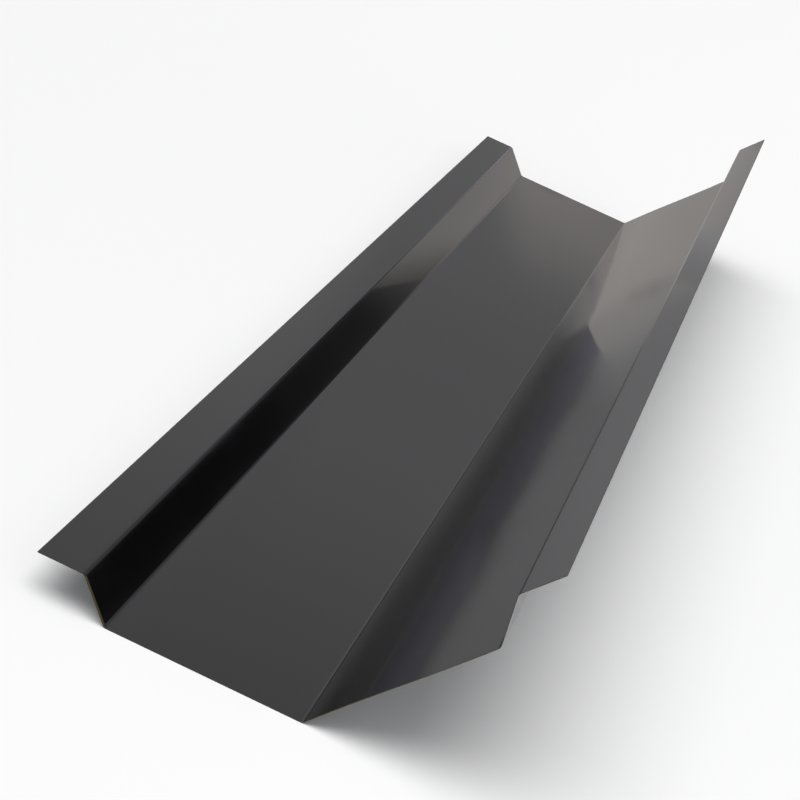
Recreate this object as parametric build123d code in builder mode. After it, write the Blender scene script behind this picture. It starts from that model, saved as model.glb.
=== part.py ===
from build123d import *
import os
from math import cos, radians, sin

# Valley flashing: one strip of pre-painted steel sheet, folded five times, that lines the
# valley between two roof slopes and carries the rain down it. Millimetres.
#
# It lies as it rests unheld on a level floor: on the underside of its left wing, with the right
# wing leaning up from the valley fold. X runs across the valley, Y along it and Z up. The origin
# is on the floor, in the middle of the length and of the overall width.
#
# From edge to edge, the strip is made of these flats:
#
#     flange, upstand, wing, (valley fold), wing, upstand, flange

# Sheet stock: half of a 1220 by 2440 sheet, slit along its length
flashing_length = 2440.0
sheet_thickness = 0.7

# Widths of the flats, each measured from bend to bend along the middle of the sheet's thickness
wing_width = 203.0  # lies on the roof's boards, on one slope
upstand_width = 54.0  # steps up the side of a batten, and keeps the water in the valley
flange_width = 48.0  # lies on the batten, under the roof's covering

# Folds, each in degrees turned away from flat
valley_turn = 48.0
upstand_turn = 48.0
inside_bend_radius = 6.0

# Headings of the flats on each side, measured outwards from the valley fold. The left wing lies
# level. Each flange is folded back by as much as its upstand is folded up, so it stays parallel
# to its wing and lies flat on the batten.
left_wing_heading = 180.0
left_upstand_heading = left_wing_heading - upstand_turn
right_wing_heading = valley_turn
right_upstand_heading = right_wing_heading + upstand_turn

# The bends are rounded along the middle of the thickness
middle_bend_radius = inside_bend_radius + sheet_thickness / 2


def outward_reach(wing_heading, upstand_heading):
    """How far one side's edge lies from the valley fold, measured along +X."""
    parallel_flats = (wing_width + flange_width) * cos(radians(wing_heading))
    return parallel_flats + upstand_width * cos(radians(upstand_heading))


# The right edge is cut square to its slanting flange, so its lower corner reaches further out
left_edge_reach = outward_reach(left_wing_heading, left_upstand_heading)
right_cut_reach = sheet_thickness / 2 * sin(radians(right_wing_heading))
right_edge_reach = outward_reach(right_wing_heading, right_upstand_heading) + right_cut_reach
valley_fold_x = -(left_edge_reach + right_edge_reach) / 2

# The cross-section is drawn from the valley fold, half a thickness above the floor
section_origin = (valley_fold_x, 0, sheet_thickness / 2)
section_plane = Plane(origin=section_origin, x_dir=(1, 0, 0), z_dir=(0, -1, 0))

with BuildPart() as valley_flashing:
    with BuildSketch(section_plane) as cross_section:
        with BuildLine() as folded_strip:
            left_wing = PolarLine((0, 0), wing_width, left_wing_heading)
            left_upstand = PolarLine(left_wing @ 1, upstand_width, left_upstand_heading)
            left_flange = PolarLine(left_upstand @ 1, flange_width, left_wing_heading)
            right_wing = PolarLine((0, 0), wing_width, right_wing_heading)
            right_upstand = PolarLine(right_wing @ 1, upstand_width, right_upstand_heading)
            right_flange = PolarLine(right_upstand @ 1, flange_width, right_wing_heading)
            fillet(folded_strip.vertices(), radius=middle_bend_radius)
        trace(line_width=sheet_thickness)
    extrude(amount=flashing_length / 2, both=True)

valley_flashing.part.label = "valley_flashing"

os.makedirs("parts", exist_ok=True)
export_step(valley_flashing.part, "parts/valley_flashing.step")
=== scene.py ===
from collections import namedtuple
from math import cos, pi, radians, sin, tan

import bmesh
import bpy
from mathutils import Matrix, Vector


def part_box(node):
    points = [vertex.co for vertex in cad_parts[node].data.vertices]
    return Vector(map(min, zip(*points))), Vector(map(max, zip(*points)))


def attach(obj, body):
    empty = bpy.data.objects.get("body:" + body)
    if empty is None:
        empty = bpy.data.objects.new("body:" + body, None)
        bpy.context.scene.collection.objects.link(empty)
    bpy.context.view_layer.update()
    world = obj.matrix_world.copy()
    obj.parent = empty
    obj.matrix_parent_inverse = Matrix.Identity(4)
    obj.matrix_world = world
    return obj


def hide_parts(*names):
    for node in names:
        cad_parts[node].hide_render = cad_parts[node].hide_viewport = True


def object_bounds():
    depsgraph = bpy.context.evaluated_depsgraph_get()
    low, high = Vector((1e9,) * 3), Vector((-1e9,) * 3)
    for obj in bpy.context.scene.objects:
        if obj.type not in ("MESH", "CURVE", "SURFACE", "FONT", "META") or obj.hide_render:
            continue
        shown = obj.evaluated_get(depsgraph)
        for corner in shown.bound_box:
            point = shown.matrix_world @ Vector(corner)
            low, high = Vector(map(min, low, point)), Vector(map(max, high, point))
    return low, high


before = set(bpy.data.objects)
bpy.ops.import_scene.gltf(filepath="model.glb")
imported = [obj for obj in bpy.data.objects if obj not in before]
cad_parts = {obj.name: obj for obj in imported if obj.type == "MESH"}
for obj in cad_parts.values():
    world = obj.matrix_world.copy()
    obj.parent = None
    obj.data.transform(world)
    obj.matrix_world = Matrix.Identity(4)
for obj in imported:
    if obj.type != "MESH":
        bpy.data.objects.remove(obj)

# Valley flashing: one strip of pre-painted steel sheet, folded five times, that lines the valley
# between two roof slopes. X runs across the valley, Y along it and Z up, in metres, and the sheet
# lies on the underside of its left wing.

bl_info = {
    "name": "Valley flashing",
    "version": (1, 0, 0),
    "blender": (4, 5, 0),
    "location": "3D View > Sidebar > Flashing",
    "description": "Folds a painted valley flashing from sheet and sets it on a pale studio floor",
    "category": "Object",
}

MM = 0.001

# Where a noise texture's values mostly lie
NOISE_LOW = 0.3
NOISE_HIGH = 0.7

CAD_NODE = "valley_flashing"
CAD_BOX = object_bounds()
NODE_LOW, NODE_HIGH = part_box(CAD_NODE)

# How far along Y the stage's far card stands, and how far its painted dark streak leans for its
# height
CARD_FAR = 1.7
BAR_LEAN = 1.14


def linear(hex_colour):
    """An sRGB hex colour as linear red, green and blue."""
    channels = [int(hex_colour[i : i + 2], 16) / 255 for i in (1, 3, 5)]
    return [c / 12.92 if c <= 0.04045 else ((c + 0.055) / 1.055) ** 2.4 for c in channels]


def smoothstep(value):
    """0 below 0, 1 above 1, and a soft step between."""
    value = min(max(value, 0.0), 1.0)
    return value * value * (3 - 2 * value)


class FlashingSizes(bpy.types.PropertyGroup):
    """Sizes of the folded strip. Widths run from bend to bend along the middle of the thickness."""

    length: bpy.props.FloatProperty(
        name="Length",
        description="Length of the strip along the valley",
        default=NODE_HIGH.y - NODE_LOW.y,
        unit="LENGTH",
    )
    thickness: bpy.props.FloatProperty(
        name="Thickness",
        description="Thickness of the painted sheet",
        default=0.7 * MM,
        unit="LENGTH",
    )
    wing: bpy.props.FloatProperty(
        name="Wing",
        description="Width of each wing, which lies on the roof's boards",
        default=203.0 * MM,
        unit="LENGTH",
    )
    upstand: bpy.props.FloatProperty(
        name="Upstand",
        description="Width of each upstand, which steps up the side of a batten",
        default=54.0 * MM,
        unit="LENGTH",
    )
    flange: bpy.props.FloatProperty(
        name="Flange",
        description="Width of each flange, which lies on a batten",
        default=48.0 * MM,
        unit="LENGTH",
    )
    valley_turn: bpy.props.FloatProperty(
        name="Valley fold",
        description="Turn of the valley fold away from flat",
        default=radians(48.0),
        unit="ROTATION",
        subtype="ANGLE",
    )
    upstand_turn: bpy.props.FloatProperty(
        name="Upstand fold",
        description="Turn of each fold beside an upstand away from flat",
        default=radians(48.0),
        unit="ROTATION",
        subtype="ANGLE",
    )
    inside_bend_radius: bpy.props.FloatProperty(
        name="Inside bend radius",
        description="Radius on the inside of every bend",
        default=6.0 * MM,
        unit="LENGTH",
    )
    wing_waviness: bpy.props.FloatProperty(
        name="Wing waviness",
        description="How far a wide flat strays from a true plane",
        default=0.12 * MM,
        unit="LENGTH",
    )
    wing_bow: bpy.props.FloatProperty(
        name="Wing bow",
        description="Depth of the right wing's bow to each side of its true plane",
        default=0.5 * MM,
        unit="LENGTH",
    )
    edge_waviness: bpy.props.FloatProperty(
        name="Edge waviness",
        description="How far an upstand or flange strays from a true plane",
        default=0.04 * MM,
        unit="LENGTH",
    )
    scraped_width: bpy.props.FloatProperty(
        name="Scraped width",
        description="Width of the strip at the near end of the left upstand that has lost its coat",
        default=3.6 * MM,
        unit="LENGTH",
    )


class FlashingColours(bpy.types.PropertyGroup):
    """Colours of the sheet's coats and of the studio."""

    top_coat: bpy.props.FloatVectorProperty(
        name="Top coat",
        description="Jet-black polyester coat on the weather side",
        default=linear("#0b0b0c"),
        subtype="COLOR",
        min=0.0,
        max=1.0,
    )
    dust: bpy.props.FloatVectorProperty(
        name="Dust",
        description="Fine grey dust that dulls the top coat in faint clouds",
        default=linear("#5b5c60"),
        subtype="COLOR",
        min=0.0,
        max=1.0,
    )
    backing_coat: bpy.props.FloatVectorProperty(
        name="Backing coat",
        description="Grey epoxy coat on the underside",
        default=linear("#8b8d8f"),
        subtype="COLOR",
        min=0.0,
        max=1.0,
    )
    cut_edge: bpy.props.FloatVectorProperty(
        name="Cut edge",
        description="Sheared zinc-coated steel, dulled to khaki",
        default=linear("#6b6344"),
        subtype="COLOR",
        min=0.0,
        max=1.0,
    )
    primer: bpy.props.FloatVectorProperty(
        name="Primer",
        description="Khaki primer that shows where the top coat is scraped off",
        default=linear("#554c2a"),
        subtype="COLOR",
        min=0.0,
        max=1.0,
    )
    floor: bpy.props.FloatVectorProperty(
        name="Floor",
        description="Pale studio floor",
        default=linear("#f6f6f6"),
        subtype="COLOR",
        min=0.0,
        max=1.0,
    )
    room: bpy.props.FloatVectorProperty(
        name="Room",
        description="Light of the room all round, which the coat mirrors",
        default=linear("#a6a6a7"),
        subtype="COLOR",
        min=0.0,
        max=1.0,
    )
    side_card: bpy.props.FloatVectorProperty(
        name="Side card",
        description="Grey card beside the left flange, which the right wing mirrors",
        default=linear("#a4a4a6"),
        subtype="COLOR",
        min=0.0,
        max=1.0,
    )
    far_card: bpy.props.FloatVectorProperty(
        name="Far card",
        description="Warm pale card past the far end, which every flat mirrors at its far end",
        default=linear("#bdb8b5"),
        subtype="COLOR",
        min=0.0,
        max=1.0,
    )
    window: bpy.props.FloatVectorProperty(
        name="Window",
        description="Bluish strip of light, which the dark band of the right wing mirrors",
        default=linear("#cfcddd"),
        subtype="COLOR",
        min=0.0,
        max=1.0,
    )
    dark_corner: bpy.props.FloatVectorProperty(
        name="Dark corner",
        description="Unlit part of the room, which blackens the left upstand",
        default=linear("#1c1c1c"),
        subtype="COLOR",
        min=0.0,
        max=1.0,
    )


def add(tree, kind, inputs=None, **settings):
    """Adds a node. A value in inputs that is a socket is linked, and any other is set."""
    node = tree.nodes.new(kind)
    for name, value in settings.items():
        setattr(node, name, value)
    for name, value in (inputs or {}).items():
        socket = node.inputs[name]
        if isinstance(value, bpy.types.NodeSocket):
            tree.links.new(value, socket)
        else:
            socket.default_value = value
    return node


def new_material(name):
    """An empty material and its node tree."""
    material = bpy.data.materials.new(name)
    material.use_nodes = True
    material.node_tree.nodes.clear()
    return material, material.node_tree


def opaque(colour):
    """A colour with full alpha."""
    return (*colour, 1.0)


def noise_scale(feature_mm):
    """The noise scale that gives features of this size, on coordinates in metres."""
    return 1 / (feature_mm * MM)


def make_top_coat(colours):
    """Polyester coil coat, jet black, roller-coated and baked on a zinc-coated steel sheet.

    It gives the eye a smooth, near-black satin gloss: seen steeply it is black, and seen along the
    sheet it mirrors the room softly. The film has a faint orange peel, and handling leaves clouds
    of dust and thumb-sized smudges.
    """
    material, tree = new_material("polyester_coil_coat_jet_black")
    place = add(tree, "ShaderNodeTexCoord").outputs["Object"]

    # Dust lies in clouds about a hand wide, thin enough to leave the coat black
    cloud_mm = 140
    most_dust = 0.012
    clouds = add(
        tree,
        "ShaderNodeTexNoise",
        {"Vector": place, "Scale": noise_scale(cloud_mm), "Detail": 4.0, "Roughness": 0.55},
    )
    dust = add(
        tree,
        "ShaderNodeMapRange",
        {"Value": clouds.outputs["Fac"], "From Min": 0.45, "From Max": 0.75, "To Max": most_dust},
        interpolation_type="SMOOTHSTEP",
    )
    # Specks of grit lie a thumb apart, and are drawn 2 mm wide so that they show at all
    grit_gap_mm = 28
    grit_core_mm = 0.56
    grit_radius_mm = 0.98
    grit_strength = 0.05
    grit_cells = add(
        tree, "ShaderNodeTexVoronoi", {"Vector": place, "Scale": noise_scale(grit_gap_mm)}
    )
    grit = add(
        tree,
        "ShaderNodeMapRange",
        {
            "Value": grit_cells.outputs["Distance"],
            "From Min": grit_core_mm / grit_gap_mm,
            "From Max": grit_radius_mm / grit_gap_mm,
            "To Min": grit_strength,
            "To Max": 0.0,
        },
    )
    film = add(
        tree,
        "ShaderNodeMath",
        {0: dust.outputs["Result"], 1: grit.outputs["Result"]},
        operation="ADD",
    )
    colour = add(
        tree,
        "ShaderNodeMix",
        {"Factor": film.outputs["Value"], "A": opaque(colours.top_coat), "B": opaque(colours.dust)},
        data_type="RGBA",
    )

    # Smudges about a thumb wide, and the wider clouds, change the gloss a little
    smudge_mm = 30
    smudge_share = 0.35
    least_roughness = 0.05
    most_roughness = 0.08
    smudges = add(
        tree,
        "ShaderNodeTexNoise",
        {"Vector": place, "Scale": noise_scale(smudge_mm), "Detail": 3.0, "Distortion": 0.6},
    )
    gloss_clouds = add(
        tree,
        "ShaderNodeMix",
        {"Factor": smudge_share, "A": clouds.outputs["Fac"], "B": smudges.outputs["Fac"]},
    )
    roughness = add(
        tree,
        "ShaderNodeMapRange",
        {
            "Value": gloss_clouds.outputs["Result"],
            "From Min": NOISE_LOW,
            "From Max": NOISE_HIGH,
            "To Min": least_roughness,
            "To Max": most_roughness,
        },
    )

    # Orange peel of the baked film, about 2.5 mm from crest to crest and under a micron deep
    peel_mm = 2.5
    peel_strength = 0.15
    peel_depth = 0.004 * MM
    peel = add(
        tree,
        "ShaderNodeTexNoise",
        {"Vector": place, "Scale": noise_scale(peel_mm), "Detail": 1.0},
    )
    relief = add(
        tree,
        "ShaderNodeBump",
        {"Height": peel.outputs["Fac"], "Strength": peel_strength, "Distance": peel_depth},
    )
    coat = add(
        tree,
        "ShaderNodeBsdfPrincipled",
        {
            "Base Color": colour.outputs["Result"],
            "Roughness": roughness.outputs["Result"],
            "IOR": 1.5,
            "Normal": relief.outputs["Normal"],
        },
    )
    add(tree, "ShaderNodeOutputMaterial", {"Surface": coat.outputs["BSDF"]})
    return material


def make_backing_coat(colours):
    """Epoxy backing coat, mid grey, roller-coated thin on the underside of the sheet.

    It gives the eye a flat, even grey with a low sheen, a little streaky along the sheet.
    """
    material, tree = new_material("epoxy_backing_coat_grey")
    place = add(tree, "ShaderNodeTexCoord").outputs["Object"]
    # Roller streaks, about 6 mm wide and fifty times as long
    streak_mm = 6
    streak_stretch = 50
    darkest_streak = 0.9
    palest_streak = 1.06
    least_roughness = 0.42
    most_roughness = 0.52
    stretched = add(
        tree,
        "ShaderNodeVectorMath",
        {0: place, 1: (1.0, 1 / streak_stretch, 1.0)},
        operation="MULTIPLY",
    )
    streaks = add(
        tree,
        "ShaderNodeTexNoise",
        {"Vector": stretched.outputs["Vector"], "Scale": noise_scale(streak_mm), "Detail": 3.0},
    )
    streak_shade = add(
        tree,
        "ShaderNodeMapRange",
        {
            "Value": streaks.outputs["Fac"],
            "From Min": NOISE_LOW,
            "From Max": NOISE_HIGH,
            "To Min": darkest_streak,
            "To Max": palest_streak,
        },
    )
    colour = add(
        tree,
        "ShaderNodeVectorMath",
        {0: tuple(colours.backing_coat), "Scale": streak_shade.outputs["Result"]},
        operation="SCALE",
    )
    roughness = add(
        tree,
        "ShaderNodeMapRange",
        {
            "Value": streaks.outputs["Fac"],
            "From Min": NOISE_LOW,
            "From Max": NOISE_HIGH,
            "To Min": least_roughness,
            "To Max": most_roughness,
        },
    )
    coat = add(
        tree,
        "ShaderNodeBsdfPrincipled",
        {
            "Base Color": colour.outputs["Vector"],
            "Roughness": roughness.outputs["Result"],
            "IOR": 1.5,
        },
    )
    add(tree, "ShaderNodeOutputMaterial", {"Surface": coat.outputs["BSDF"]})
    return material


def make_cut_edge(colours):
    """Zinc-coated steel, sheared, with its cut face left bare.

    It gives the eye a thin line of dull khaki metal, bright where the blade burnished it and
    brownish where it has begun to tarnish.
    """
    material, tree = new_material("sheared_zinc_coated_steel")
    place = add(tree, "ShaderNodeTexCoord").outputs["Object"]
    # Tarnish in patches about 9 mm long
    patch_mm = 9
    tarnish = 0.45
    patches = add(
        tree,
        "ShaderNodeTexNoise",
        {"Vector": place, "Scale": noise_scale(patch_mm), "Detail": 3.0},
    )
    tarnished = [c * tarnish for c in colours.cut_edge]
    colour = add(
        tree,
        "ShaderNodeMix",
        {"Factor": patches.outputs["Fac"], "A": opaque(colours.cut_edge), "B": opaque(tarnished)},
        data_type="RGBA",
    )
    metal = add(
        tree,
        "ShaderNodeBsdfPrincipled",
        {"Base Color": colour.outputs["Result"], "Metallic": 1.0, "Roughness": 0.45},
    )
    add(tree, "ShaderNodeOutputMaterial", {"Surface": metal.outputs["BSDF"]})
    return material


def make_primer(colours):
    """Corrosion-inhibiting primer, khaki, bared and scuffed where the top coat is scraped off.

    It gives the eye a dull, uneven khaki strip.
    """
    material, tree = new_material("scuffed_khaki_primer")
    place = add(tree, "ShaderNodeTexCoord").outputs["Object"]
    # Scuffs about 2.5 mm long
    scuff_mm = 2.5
    wear = 0.6
    scuffs = add(
        tree,
        "ShaderNodeTexNoise",
        {"Vector": place, "Scale": noise_scale(scuff_mm), "Detail": 3.0},
    )
    worn = [c * wear for c in colours.primer]
    colour = add(
        tree,
        "ShaderNodeMix",
        {"Factor": scuffs.outputs["Fac"], "A": opaque(colours.primer), "B": opaque(worn)},
        data_type="RGBA",
    )
    film = add(
        tree,
        "ShaderNodeBsdfPrincipled",
        {"Base Color": colour.outputs["Result"], "Roughness": 0.6, "IOR": 1.5},
    )
    add(tree, "ShaderNodeOutputMaterial", {"Surface": film.outputs["BSDF"]})
    return material


class Column:
    """One line of the mesh along the strip: a point of the section, its normal and its flat."""

    def __init__(self, place, normal, flat=None, across=0.0):
        self.place = place
        self.normal = normal
        self.flat = flat
        self.across = across


def strip_flats(sizes):
    """Name, width and heading of each flat, walked from the left edge to the right edge."""
    return (
        ("left_flange", sizes.flange, 0.0),
        ("left_upstand", sizes.upstand, -sizes.upstand_turn),
        ("left_wing", sizes.wing, 0.0),
        ("right_wing", sizes.wing, sizes.valley_turn),
        ("right_upstand", sizes.upstand, sizes.valley_turn + sizes.upstand_turn),
        ("right_flange", sizes.flange, sizes.valley_turn),
    )


def heading_vector(heading):
    """A unit vector in the section's plane."""
    return Vector((cos(heading), 0.0, sin(heading)))


def section_columns(sizes):
    """Columns of the section, along the middle of the thickness, with every bend rounded."""
    column_gap = 9.0 * MM
    bend_steps = 8
    support_gap = 0.4 * MM
    flats = strip_flats(sizes)
    radius = sizes.inside_bend_radius + sizes.thickness / 2

    columns = []
    corner = Vector((0.0, 0.0, 0.0))
    for index, (name, width, heading) in enumerate(flats):
        along = heading_vector(heading)
        normal = heading_vector(heading + pi / 2)
        turn_in = heading - flats[index - 1][2] if index else 0.0
        turn_out = flats[index + 1][2] - heading if index + 1 < len(flats) else 0.0
        start = radius * tan(abs(turn_in) / 2)
        end = width - radius * tan(abs(turn_out) / 2)

        gaps = max(2, round((end - start) / column_gap))
        stops = [start + (end - start) * step / gaps for step in range(gaps + 1)]
        stops.insert(1, start + support_gap)
        stops.insert(-1, end - support_gap)
        for stop in stops:
            across = (stop - start) / (end - start)
            columns.append(Column(corner + along * stop, normal, name, across))

        if turn_out:
            side = 1 if turn_out > 0 else -1
            centre = corner + along * end + normal * radius * side
            for step in range(1, bend_steps):
                bent = heading_vector(heading + turn_out * step / bend_steps + pi / 2)
                columns.append(Column(centre - bent * radius * side, bent))
        corner = corner + along * width

    # The section is moved so that its lowest and leftmost points meet the frame's
    half = sizes.thickness / 2
    lowest = min(c.place.z - abs(c.normal.z) * half for c in columns)
    leftmost = min(c.place.x - abs(c.normal.x) * half for c in columns)
    shift = Vector((NODE_LOW.x - leftmost, 0.0, NODE_LOW.z - lowest))
    for column in columns:
        column.place = column.place + shift
    return columns


def stray(column, y, sizes):
    """How far the sheet stands off its true plane, towards its top side.

    A thin sheet keeps long shallow waves in its wide flats after folding. Bends and ends are
    stiff, so the waves die out there. The left wing lies on the floor, so it only rises. The
    right wing is bowed across its width, up beside the fold and down beside the upstand.
    """
    if column.flat is None:
        return 0.0
    wide = column.flat.endswith("wing")
    end_margin = 90.0 * MM
    held_ends = smoothstep((sizes.length / 2 - abs(y)) / end_margin)
    arch = sin(pi * column.across) ** 2

    # A long and a short wave run slantwise along each flat, out of step with its neighbours
    long_length = 810.0 * MM
    short_length = 370.0 * MM
    long_slant = 1.2
    short_slant = -1.5
    long_share = 0.75
    short_share = 0.25
    long_phase = 1.7 * len(column.flat)
    short_phase = 2.3 * long_phase
    long_wave = sin(2 * pi * y / long_length + long_phase + long_slant * column.across)
    short_wave = sin(2 * pi * y / short_length + short_phase + short_slant * column.across)
    lift = 1.0 if column.flat == "left_wing" else 0.0
    depth = sizes.wing_waviness if wide else sizes.edge_waviness
    height = held_ends * depth * arch * (lift + long_share * long_wave + short_share * short_wave)
    if column.flat == "right_wing":
        height += sizes.wing_bow * sin(2 * pi * column.across)
    return height


def fold_sheet_mesh(sizes):
    """The closed mesh of the folded strip: top coat, backing coat, cut edges and bared primer."""
    station_gap = 12.0 * MM
    sharp_turn = radians(60)
    columns = section_columns(sizes)
    gaps = round(sizes.length / station_gap)
    stations = [sizes.length * (gap / gaps - 0.5) for gap in range(gaps + 1)]
    stations.insert(1, stations[0] + sizes.scraped_width)
    half = sizes.thickness / 2
    top, back, edge, primer = 0, 1, 2, 3

    mesh = bmesh.new()
    top_rows = []
    back_rows = []
    for y in stations:
        along = Vector((0.0, y, 0.0))
        top_row = []
        back_row = []
        for column in columns:
            middle = column.place + along + column.normal * stray(column, y, sizes)
            top_row.append(mesh.verts.new(middle + column.normal * half))
            back_row.append(mesh.verts.new(middle - column.normal * half))
        top_rows.append(top_row)
        back_rows.append(back_row)

    def skin(corners, material_index):
        face = mesh.faces.new(corners)
        face.material_index = material_index
        face.smooth = True

    last = len(columns) - 1
    far_end = len(stations) - 1
    for i in range(far_end):
        for j in range(last):
            # The shear scraped the coat off the near end of the left upstand
            scraped = i == 0 and columns[j].flat == "left_upstand"
            near, far = top_rows[i], top_rows[i + 1]
            skin((near[j], near[j + 1], far[j + 1], far[j]), primer if scraped else top)
            near, far = back_rows[i], back_rows[i + 1]
            skin((near[j], far[j], far[j + 1], near[j + 1]), back)
        skin((top_rows[i][0], top_rows[i + 1][0], back_rows[i + 1][0], back_rows[i][0]), edge)
        skin(
            (top_rows[i][last], back_rows[i][last], back_rows[i + 1][last], top_rows[i + 1][last]),
            edge,
        )
    for j in range(last):
        upper, lower = top_rows[0], back_rows[0]
        skin((upper[j], lower[j], lower[j + 1], upper[j + 1]), edge)
        upper, lower = top_rows[far_end], back_rows[far_end]
        skin((upper[j], upper[j + 1], lower[j + 1], lower[j]), edge)

    for line in mesh.edges:
        kinds = {face.material_index for face in line.link_faces}
        if len(kinds) > 1 or kinds == {edge} and line.calc_face_angle() > sharp_turn:
            line.smooth = False
    return mesh


class FLASHING_OT_fold_sheet(bpy.types.Operator):
    """Fold the painted sheet and lay it in the frame"""

    bl_idname = "flashing.fold_sheet"
    bl_label = "Fold sheet"
    bl_options = {"REGISTER", "UNDO"}

    def execute(self, context):
        sizes = context.scene.flashing_sizes
        colours = context.scene.flashing_colours
        shape = fold_sheet_mesh(sizes)
        data = bpy.data.meshes.new("folded_sheet")
        shape.to_mesh(data)
        shape.free()
        for make in (make_top_coat, make_backing_coat, make_cut_edge, make_primer):
            data.materials.append(make(colours))
        sheet = bpy.data.objects.new("folded_sheet", data)
        context.scene.collection.objects.link(sheet)
        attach(sheet, "root")
        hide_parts(CAD_NODE)
        return {"FINISHED"}


def flat_card(name, corners, material):
    """One four-sided stage piece."""
    data = bpy.data.meshes.new(name)
    data.from_pydata(corners, [], [(0, 1, 2, 3)])
    data.materials.append(material)
    card = bpy.data.objects.new(name, data)
    bpy.context.scene.collection.objects.link(card)
    return card


def only_mirrored(card):
    """The card shows only in the coat's gloss, and neither lights nor shades the sheet."""
    card.visible_camera = False
    card.visible_diffuse = False
    card.visible_transmission = False
    card.visible_shadow = False


def make_floor(colours):
    """Seamless studio paper, matt and off-white, so that only the sheet's soft shadow shows."""
    material, tree = new_material("matt_studio_paper")
    place = add(tree, "ShaderNodeTexCoord").outputs["Object"]
    # Paper fibre, about 2 mm long
    fibre_mm = 2.0
    fibre = add(tree, "ShaderNodeTexNoise", {"Vector": place, "Scale": noise_scale(fibre_mm)})
    roughness = add(
        tree,
        "ShaderNodeMapRange",
        {"Value": fibre.outputs["Fac"], "To Min": 0.92, "To Max": 1.0},
    )
    paper = add(
        tree,
        "ShaderNodeBsdfDiffuse",
        {"Color": opaque(colours.floor), "Roughness": roughness.outputs["Result"]},
    )
    add(tree, "ShaderNodeOutputMaterial", {"Surface": paper.outputs["BSDF"]})
    return material


# Directions over the stage cards
ACROSS = (1.0, 0.0, 0.0)
AWAY = (0.0, 1.0, 0.0)
UP = (0.0, 0.0, 1.0)

# A soft change of a factor along a direction: where it starts and stops, in metres from the
# frame's origin, and the factor before it and after it. For a leaning direction, start and stop
# are where its lines meet the floor.
Grade = namedtuple("Grade", "direction start stop first last", defaults=(0.0, 1.0))

# The lower and the upper edge of a painted dark band along the cards, a painted shade that the
# sheet mirrors near its fold
PAINTED_DARK_BAND_EDGES = (Grade(UP, 0.074, 0.084), Grade(UP, 0.1, 0.127, 1.0, 0.0))


def leaning(lean):
    """The direction across lines that go to the right by lean for each metre of height."""
    return (1.0, 0.0, -lean)


def graded(tree, place, level, *grades):
    """A level, multiplied at each place by the factor of each grade."""
    for grade in grades:
        along = add(
            tree,
            "ShaderNodeVectorMath",
            {0: place, 1: grade.direction},
            operation="DOT_PRODUCT",
        )
        factor = add(
            tree,
            "ShaderNodeMapRange",
            {
                "Value": along.outputs["Value"],
                "From Min": grade.start,
                "From Max": grade.stop,
                "To Min": grade.first,
                "To Max": grade.last,
            },
            interpolation_type="SMOOTHSTEP",
        )
        product = add(
            tree,
            "ShaderNodeMath",
            {0: level, 1: factor.outputs["Result"]},
            operation="MULTIPLY",
        )
        level = product.outputs["Value"]
    return level


def card_grey(tree, place, colours):
    """The grey that the cards share: dark at the floor, paler high up and towards the camera."""
    floor_glow = 0.14
    wall_level = 0.84
    wall_glow = 0.3
    top_level = 1.065
    towards_camera = Grade(AWAY, 0.4, 1.9, 1.0, 0.0)
    near_floor = add(
        tree,
        "ShaderNodeMath",
        {
            0: graded(tree, place, floor_glow, towards_camera),
            1: graded(tree, place, 1.0, Grade(AWAY, 1.4, 1.75, 0.65, 0.83)),
        },
        operation="ADD",
    )
    wall = add(
        tree,
        "ShaderNodeMath",
        {
            0: graded(tree, place, wall_glow, towards_camera, Grade(UP, 0.04, 0.36)),
            1: wall_level,
        },
        operation="ADD",
    )
    lower_level = add(
        tree,
        "ShaderNodeMix",
        {
            "Factor": graded(tree, place, 1.0, Grade(UP, 0.0, 0.16)),
            "A": near_floor.outputs["Value"],
            "B": wall.outputs["Value"],
        },
    )
    level = add(
        tree,
        "ShaderNodeMix",
        {
            "Factor": graded(tree, place, 1.0, Grade(UP, 0.4, 0.9)),
            "A": lower_level.outputs["Result"],
            "B": top_level,
        },
    )
    grey = add(
        tree,
        "ShaderNodeVectorMath",
        {0: tuple(colours.side_card), "Scale": level.outputs["Result"]},
        operation="SCALE",
    )
    return grey.outputs["Vector"]


def make_side_card(colours):
    """A grey card whose glow is painted brighter high up and towards the near end, as if lit from
    above and from the near end, with a painted dark band along it.
    """
    material, tree = new_material("grey_card")
    place = add(tree, "ShaderNodeTexCoord").outputs["Object"]
    # A painted dark band runs along the card's glow, weaker towards the far end
    fading = Grade(AWAY, -0.5, 0.3, 0.82, 0.58)
    colour = add(
        tree,
        "ShaderNodeMix",
        {
            "Factor": graded(tree, place, 1.0, *PAINTED_DARK_BAND_EDGES, fading),
            "A": card_grey(tree, place, colours),
            "B": opaque(colours.dark_corner),
        },
        data_type="RGBA",
    )
    glow = add(tree, "ShaderNodeEmission", {"Color": colour.outputs["Result"]})
    add(tree, "ShaderNodeOutputMaterial", {"Surface": glow.outputs["Emission"]})
    return material


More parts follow.
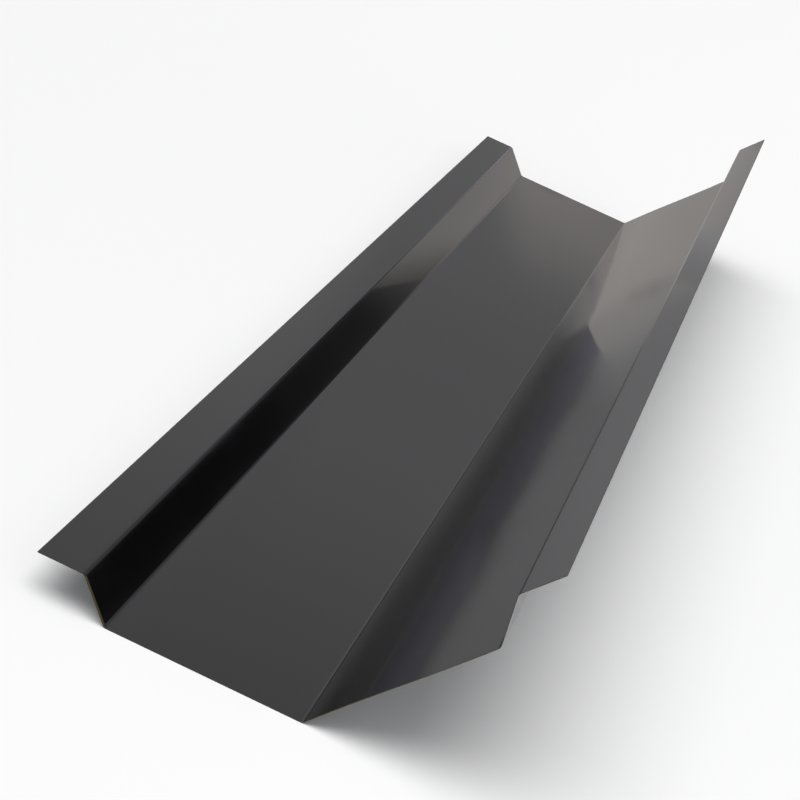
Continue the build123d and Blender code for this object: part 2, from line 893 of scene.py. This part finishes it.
def panel_share(tree, place):
    """How much of the far card's warm pale panel shows at a place."""
    # Its left side leans to the right, and more so near the floor
    left_side = add(
        tree,
        "ShaderNodeMath",
        {
            0: graded(tree, place, 1.0, Grade(leaning(2.0), -0.45, -0.32)),
            1: graded(tree, place, 1.0, Grade(leaning(0.6), -0.352, -0.222)),
        },
        operation="MAXIMUM",
    )
    card_corner = Grade(ACROSS, -0.36, -0.29)
    top = Grade(UP, 0.12, 0.36, 1.0, 0.0)
    share = graded(tree, place, left_side.outputs["Value"], card_corner, top)

    # It is dimmer at its lower corners, at the upper half of the painted dark streak and left on
    # the mat
    left_corner = (Grade(leaning(1.2), -0.27, -0.2, 1.0, 0.0), Grade(UP, 0.09, 0.12, 1.0, 0.0))
    right_corner = (Grade(ACROSS, -0.12, 0.06), Grade(UP, 0.14, 0.18, 1.0, 0.0))
    # The upper half of the painted dark streak, a painted shade across the panel
    painted_dark_streak = (
        Grade(leaning(BAR_LEAN), -0.248, -0.224),
        Grade(leaning(BAR_LEAN), -0.224, -0.2, 1.0, 0.0),
        Grade(UP, 0.052, 0.07),
        Grade(UP, 0.1, 0.125, 1.0, 0.0),
    )
    left_mat = (Grade(ACROSS, -0.2, -0.175, 1.0, 0.0), Grade(AWAY, 1.6, 1.69, 1.0, 0.0))
    shades = ((0.33, left_corner), (0.2, right_corner), (0.5, painted_dark_streak), (0.33, left_mat))
    for strength, grades in shades:
        rest = add(
            tree,
            "ShaderNodeMath",
            {0: 1.0, 1: graded(tree, place, strength, *grades)},
            operation="SUBTRACT",
        )
        shaded = add(
            tree,
            "ShaderNodeMath",
            {0: share, 1: rest.outputs["Value"]},
            operation="MULTIPLY",
        )
        share = shaded.outputs["Value"]
    return share


def dark_side_share(tree, place):
    """How much of the far card's dark right side shows at a place.

    Its soft edge leans to the right up to a knee, and stands upright above it. Higher up, a
    sharper edge lies further left.
    """
    below_knee = graded(tree, place, 1.0, Grade(leaning(1.0), 0.04, 0.22))
    above_knee = graded(tree, place, 1.0, Grade(ACROSS, 0.2, 0.38))
    sharper = graded(tree, place, 1.0, Grade(leaning(0.12), 0.08, 0.12), Grade(UP, 0.15, 0.36))
    share = below_knee
    for edge in (above_knee, sharper):
        either = add(tree, "ShaderNodeMath", {0: share, 1: edge}, operation="MAXIMUM")
        share = either.outputs["Value"]
    paler_foot = Grade(UP, 0.3, 0.8, 0.76, 1.0)
    paler_end = Grade(ACROSS, 0.4, 0.52, 1.0, 0.3)
    return graded(tree, place, share, paler_foot, paler_end)


def far_colour(tree, place, colours):
    """The far card's colour: a warm pale panel low down, grey above it and dark to the right."""
    brighter_foot = Grade(UP, 0.04, 0.1, 1.06, 1.0)
    panel = add(
        tree,
        "ShaderNodeVectorMath",
        {0: tuple(colours.far_card), "Scale": graded(tree, place, 1.0, brighter_foot)},
        operation="SCALE",
    )
    # The side card's painted dark band fades out round the corner
    painted_band_share = graded(tree, place, 0.5, *PAINTED_DARK_BAND_EDGES, Grade(ACROSS, -0.34, -0.26, 1.0, 0.0))
    dark = opaque(colours.dark_corner)
    layers = (
        (panel_share(tree, place), panel.outputs["Vector"]),
        (painted_band_share, dark),
        (dark_side_share(tree, place), dark),
    )
    colour = card_grey(tree, place, colours)
    for share, layer in layers:
        laid = add(
            tree,
            "ShaderNodeMix",
            {"Factor": share, "A": colour, "B": layer},
            data_type="RGBA",
        )
        colour = laid.outputs["Result"]
    return colour


def make_far_card(colours):
    """A card past the far end, with a window strip that leans to the right as it rises.

    Below the strip the card has a gap, through which the window card shows.
    """
    material, tree = new_material("pale_panel")
    place = add(tree, "ShaderNodeTexCoord").outputs["Object"]
    strip = leaning(0.304)
    strip_sides = (Grade(strip, -0.25, -0.235), Grade(strip, -0.13, -0.11, 1.0, 0.0))
    # The strip stays right of what the left wing mirrors
    strip_foot = (Grade(leaning(-0.14), 0.066, 0.08), Grade(UP, 0.36, 0.5))
    brighter_left = Grade(strip, -0.15, -0.225, 0.7, 1.42)
    brighter_top = Grade(UP, 0.55, 0.85, 0.88, 1.0)
    window = add(
        tree,
        "ShaderNodeVectorMath",
        {
            0: tuple(colours.window),
            "Scale": graded(tree, place, 1.0, brighter_left, brighter_top),
        },
        operation="SCALE",
    )
    colour = add(
        tree,
        "ShaderNodeMix",
        {
            "Factor": graded(tree, place, 1.0, *strip_sides, *strip_foot),
            "A": far_colour(tree, place, colours),
            "B": window.outputs["Vector"],
        },
        data_type="RGBA",
    )
    glow = add(tree, "ShaderNodeEmission", {"Color": colour.outputs["Result"]})

    gap_sides = (Grade(strip, -0.24, -0.225), Grade(strip, -0.13, -0.115, 1.0, 0.0))
    gap_ends = (Grade(UP, 0.135, 0.155), Grade(UP, 0.56, 0.62, 1.0, 0.0))
    clear = add(tree, "ShaderNodeBsdfTransparent")
    card = add(
        tree,
        "ShaderNodeMixShader",
        {
            0: graded(tree, place, 1.0, *gap_sides, *gap_ends),
            1: glow.outputs["Emission"],
            2: clear.outputs["BSDF"],
        },
    )
    add(tree, "ShaderNodeOutputMaterial", {"Surface": card.outputs["Shader"]})
    return material


def make_window_card(colours):
    """A card behind the far card's gap, with the lower end of the window strip on its right.

    The left wing mirrors both cards, so the rest repeats the far card, spread a third wider.
    """
    material, tree = new_material("window_panel")
    place = add(tree, "ShaderNodeTexCoord").outputs["Object"]
    spread = 1.331
    shift_across = 0.053
    shift_up = -0.261
    repeated_place = add(
        tree,
        "ShaderNodeVectorMath",
        {
            0: place,
            1: (1 / spread, 0.0, 1 / spread),
            2: (shift_across, CARD_FAR, shift_up),
        },
        operation="MULTIPLY_ADD",
    )

    # Its plain grey foot is what the right flange mirrors
    paler_right = Grade(ACROSS, -0.56, -0.42, 0.87, 1.15)
    foot = add(
        tree,
        "ShaderNodeVectorMath",
        {0: tuple(colours.side_card), "Scale": graded(tree, place, 1.0, paler_right)},
        operation="SCALE",
    )
    panel = add(
        tree,
        "ShaderNodeMix",
        {
            "Factor": graded(tree, place, 1.0, Grade(UP, 0.42, 0.5)),
            "A": foot.outputs["Vector"],
            "B": far_colour(tree, repeated_place.outputs["Vector"], colours),
        },
        data_type="RGBA",
    )

    # The window strip grows brighter to the left, less so higher up
    strip = leaning(0.318)
    to_the_left = Grade(strip, -0.17, -0.24)
    less_higher_up = (Grade(UP, 0.7, 0.85, 0.75, 0.6), Grade(UP, 0.95, 1.2, 1.0, 0.45))
    duller_middle = Grade(UP, 0.56, 0.72, 0.85, 0.555)
    brighter_top = Grade(UP, 0.95, 1.2, 1.0, 1.25)
    brightened = add(
        tree,
        "ShaderNodeMath",
        {0: graded(tree, place, 1.0, to_the_left, *less_higher_up), 1: 1.0},
        operation="ADD",
    )
    level = graded(tree, place, brightened.outputs["Value"], duller_middle, brighter_top)
    window = add(
        tree,
        "ShaderNodeVectorMath",
        {0: tuple(colours.window), "Scale": level},
        operation="SCALE",
    )
    colour = add(
        tree,
        "ShaderNodeMix",
        {
            "Factor": graded(tree, place, 1.0, Grade(strip, -0.32, -0.28)),
            "A": panel.outputs["Result"],
            "B": window.outputs["Vector"],
        },
        data_type="RGBA",
    )
    glow = add(tree, "ShaderNodeEmission", {"Color": colour.outputs["Result"]})
    add(tree, "ShaderNodeOutputMaterial", {"Surface": glow.outputs["Emission"]})
    return material


def make_bar_card(colours):
    """A clear card with the lower half of the painted dark streak, a painted shade that only the
    right wing mirrors.
    """
    material, tree = new_material("painted_dark_streak")
    place = add(tree, "ShaderNodeTexCoord").outputs["Object"]
    strength = 0.2
    sides = (
        Grade(leaning(BAR_LEAN), -0.222, -0.197),
        Grade(leaning(BAR_LEAN), -0.197, -0.172, 1.0, 0.0),
    )
    ends = (Grade(UP, 0.036, 0.05), Grade(UP, 0.07, 0.088, 1.0, 0.0))
    clear = add(tree, "ShaderNodeBsdfTransparent")
    glow = add(tree, "ShaderNodeEmission", {"Color": opaque(colours.dark_corner)})
    card = add(
        tree,
        "ShaderNodeMixShader",
        {
            0: graded(tree, place, strength, *sides, *ends),
            1: clear.outputs["BSDF"],
            2: glow.outputs["Emission"],
        },
    )
    add(tree, "ShaderNodeOutputMaterial", {"Surface": card.outputs["Shader"]})
    return material


def light_room(scene, colours):
    """An even grey room and one wide soft lamp overhead, together at a plain level."""
    world = bpy.data.worlds.new("studio_room")
    world.use_nodes = True
    tree = world.node_tree
    tree.nodes.clear()
    air = add(tree, "ShaderNodeBackground", {"Color": opaque(colours.room), "Strength": 1.0})
    add(tree, "ShaderNodeOutputWorld", {"Surface": air.outputs["Background"]})
    scene.world = world

    lamp = bpy.data.lights.new("overhead_soft_lamp", "SUN")
    lamp.energy = 2.15
    lamp.angle = radians(60)
    lamp_height = 3.0
    towards_far_end = Matrix.Rotation(radians(14), 4, "X")
    towards_left = Matrix.Rotation(radians(-12), 4, "Y")
    holder = bpy.data.objects.new("overhead_soft_lamp", lamp)
    raised = Matrix.Translation((0.0, 0.0, lamp_height))
    holder.matrix_world = raised @ towards_far_end @ towards_left
    scene.collection.objects.link(holder)


def place_camera(scene):
    """Looks down the trough, as in the photograph, rolled because the sheet lies on one wing."""
    target = Vector((-56.574, -240.299, 0.7)) * MM
    distance = 3376.88 * MM
    azimuth = radians(4.8213)
    elevation = radians(18.1295)
    roll = radians(-23.5775)
    level = cos(elevation)
    back = Vector((sin(azimuth) * level, -cos(azimuth) * level, sin(elevation)))

    data = bpy.data.cameras.new("camera")
    data.lens = 119.807
    data.sensor_width = 36.0
    data.clip_end = 400.0
    camera = bpy.data.objects.new("camera", data)
    facing = back.to_track_quat("Z", "Y").to_matrix().to_4x4()
    turned = facing @ Matrix.Rotation(-roll, 4, "Z")
    camera.matrix_world = Matrix.Translation(target + back * distance) @ turned
    scene.collection.objects.link(camera)
    scene.camera = camera


def level_corners(left, right, near, far, height):
    """Corners of a stage piece that lies level."""
    return ((left, near, height), (right, near, height), (right, far, height), (left, far, height))


def upright_corners(left, right, away, bottom, top):
    """Corners of a stage piece that stands across the valley."""
    return ((left, away, bottom), (right, away, bottom), (right, away, top), (left, away, top))


class FLASHING_OT_set_stage(bpy.types.Operator):
    """Set the pale floor, the mirrored cards, the soft lamp and the camera"""

    bl_idname = "flashing.set_stage"
    bl_label = "Set stage"
    bl_options = {"REGISTER", "UNDO"}

    def execute(self, context):
        scene = context.scene
        colours = scene.flashing_colours
        reach = 60.0
        floor = level_corners(-reach, reach, -reach, reach, 0.0)
        flat_card("studio_floor", floor, make_floor(colours))

        # The mats hide the white floor from the coat's gloss, up to a gap beside the sheet
        low, high = CAD_BOX
        gap = 0.004
        mat_height = 0.0005
        mat_right = low.x - gap
        mat_far = high.y + gap
        card_left = -0.35
        card_right = 1.2
        card_near = -1.6
        card_top = 1.6
        side = (
            (card_left, card_near, 0.0),
            (card_left, CARD_FAR, 0.0),
            (card_left, CARD_FAR, card_top),
            (card_left, card_near, card_top),
        )
        side_mat = level_corners(card_left, mat_right, card_near, mat_far, mat_height)
        grey_card = make_side_card(colours)
        only_mirrored(flat_card("side_card", side, grey_card))
        only_mirrored(flat_card("side_mat", side_mat, grey_card))

        far = upright_corners(card_left, card_right, CARD_FAR, 0.0, card_top)
        far_mat = level_corners(card_left, card_right, mat_far, CARD_FAR, mat_height)
        pale_panel = make_far_card(colours)
        only_mirrored(flat_card("far_card", far, pale_panel))
        only_mirrored(flat_card("far_mat", far_mat, pale_panel))

        # The bar card carries the lower half of the painted dark streak, a painted shade that the
        # right wing mirrors
        bar_left = -0.2
        bar_right = 0.0
        bar_far = 1.55
        bar_bottom = 0.03
        bar_top = 0.09
        bar = upright_corners(bar_left, bar_right, bar_far, bar_bottom, bar_top)
        only_mirrored(flat_card("bar_card", bar, make_bar_card(colours)))

        window_left = -0.7
        window_right = 0.5
        window_far = 3.4
        window_top = 1.4
        window = upright_corners(window_left, window_right, window_far, 0.0, window_top)
        only_mirrored(flat_card("window_card", window, make_window_card(colours)))

        light_room(scene, colours)
        place_camera(scene)
        scene.view_settings.view_transform = "Standard"
        return {"FINISHED"}


class FLASHING_PT_build(bpy.types.Panel):
    """Sizes, colours and build steps of the valley flashing"""

    bl_idname = "FLASHING_PT_build"
    bl_label = "Valley flashing"
    bl_space_type = "VIEW_3D"
    bl_region_type = "UI"
    bl_category = "Flashing"

    def draw(self, context):
        scene = context.scene
        for group in (scene.flashing_sizes, scene.flashing_colours):
            column = self.layout.column()
            for name in group.__annotations__:
                column.prop(group, name)
        self.layout.operator(FLASHING_OT_fold_sheet.bl_idname)
        self.layout.operator(FLASHING_OT_set_stage.bl_idname)


CLASSES = (
    FlashingSizes,
    FlashingColours,
    FLASHING_OT_fold_sheet,
    FLASHING_OT_set_stage,
    FLASHING_PT_build,
)


def register():
    """Adds the classes, and the sizes and colours to the scene."""
    for kind in CLASSES:
        bpy.utils.register_class(kind)
    bpy.types.Scene.flashing_sizes = bpy.props.PointerProperty(type=FlashingSizes)
    bpy.types.Scene.flashing_colours = bpy.props.PointerProperty(type=FlashingColours)


def unregister():
    """Takes the sizes, colours and classes away again."""
    del bpy.types.Scene.flashing_colours
    del bpy.types.Scene.flashing_sizes
    for kind in reversed(CLASSES):
        bpy.utils.unregister_class(kind)


def main():
    """Builds the sheet and its stage."""
    register()
    bpy.ops.flashing.fold_sheet()
    bpy.ops.flashing.set_stage()


if __name__ == "__main__":
    main()
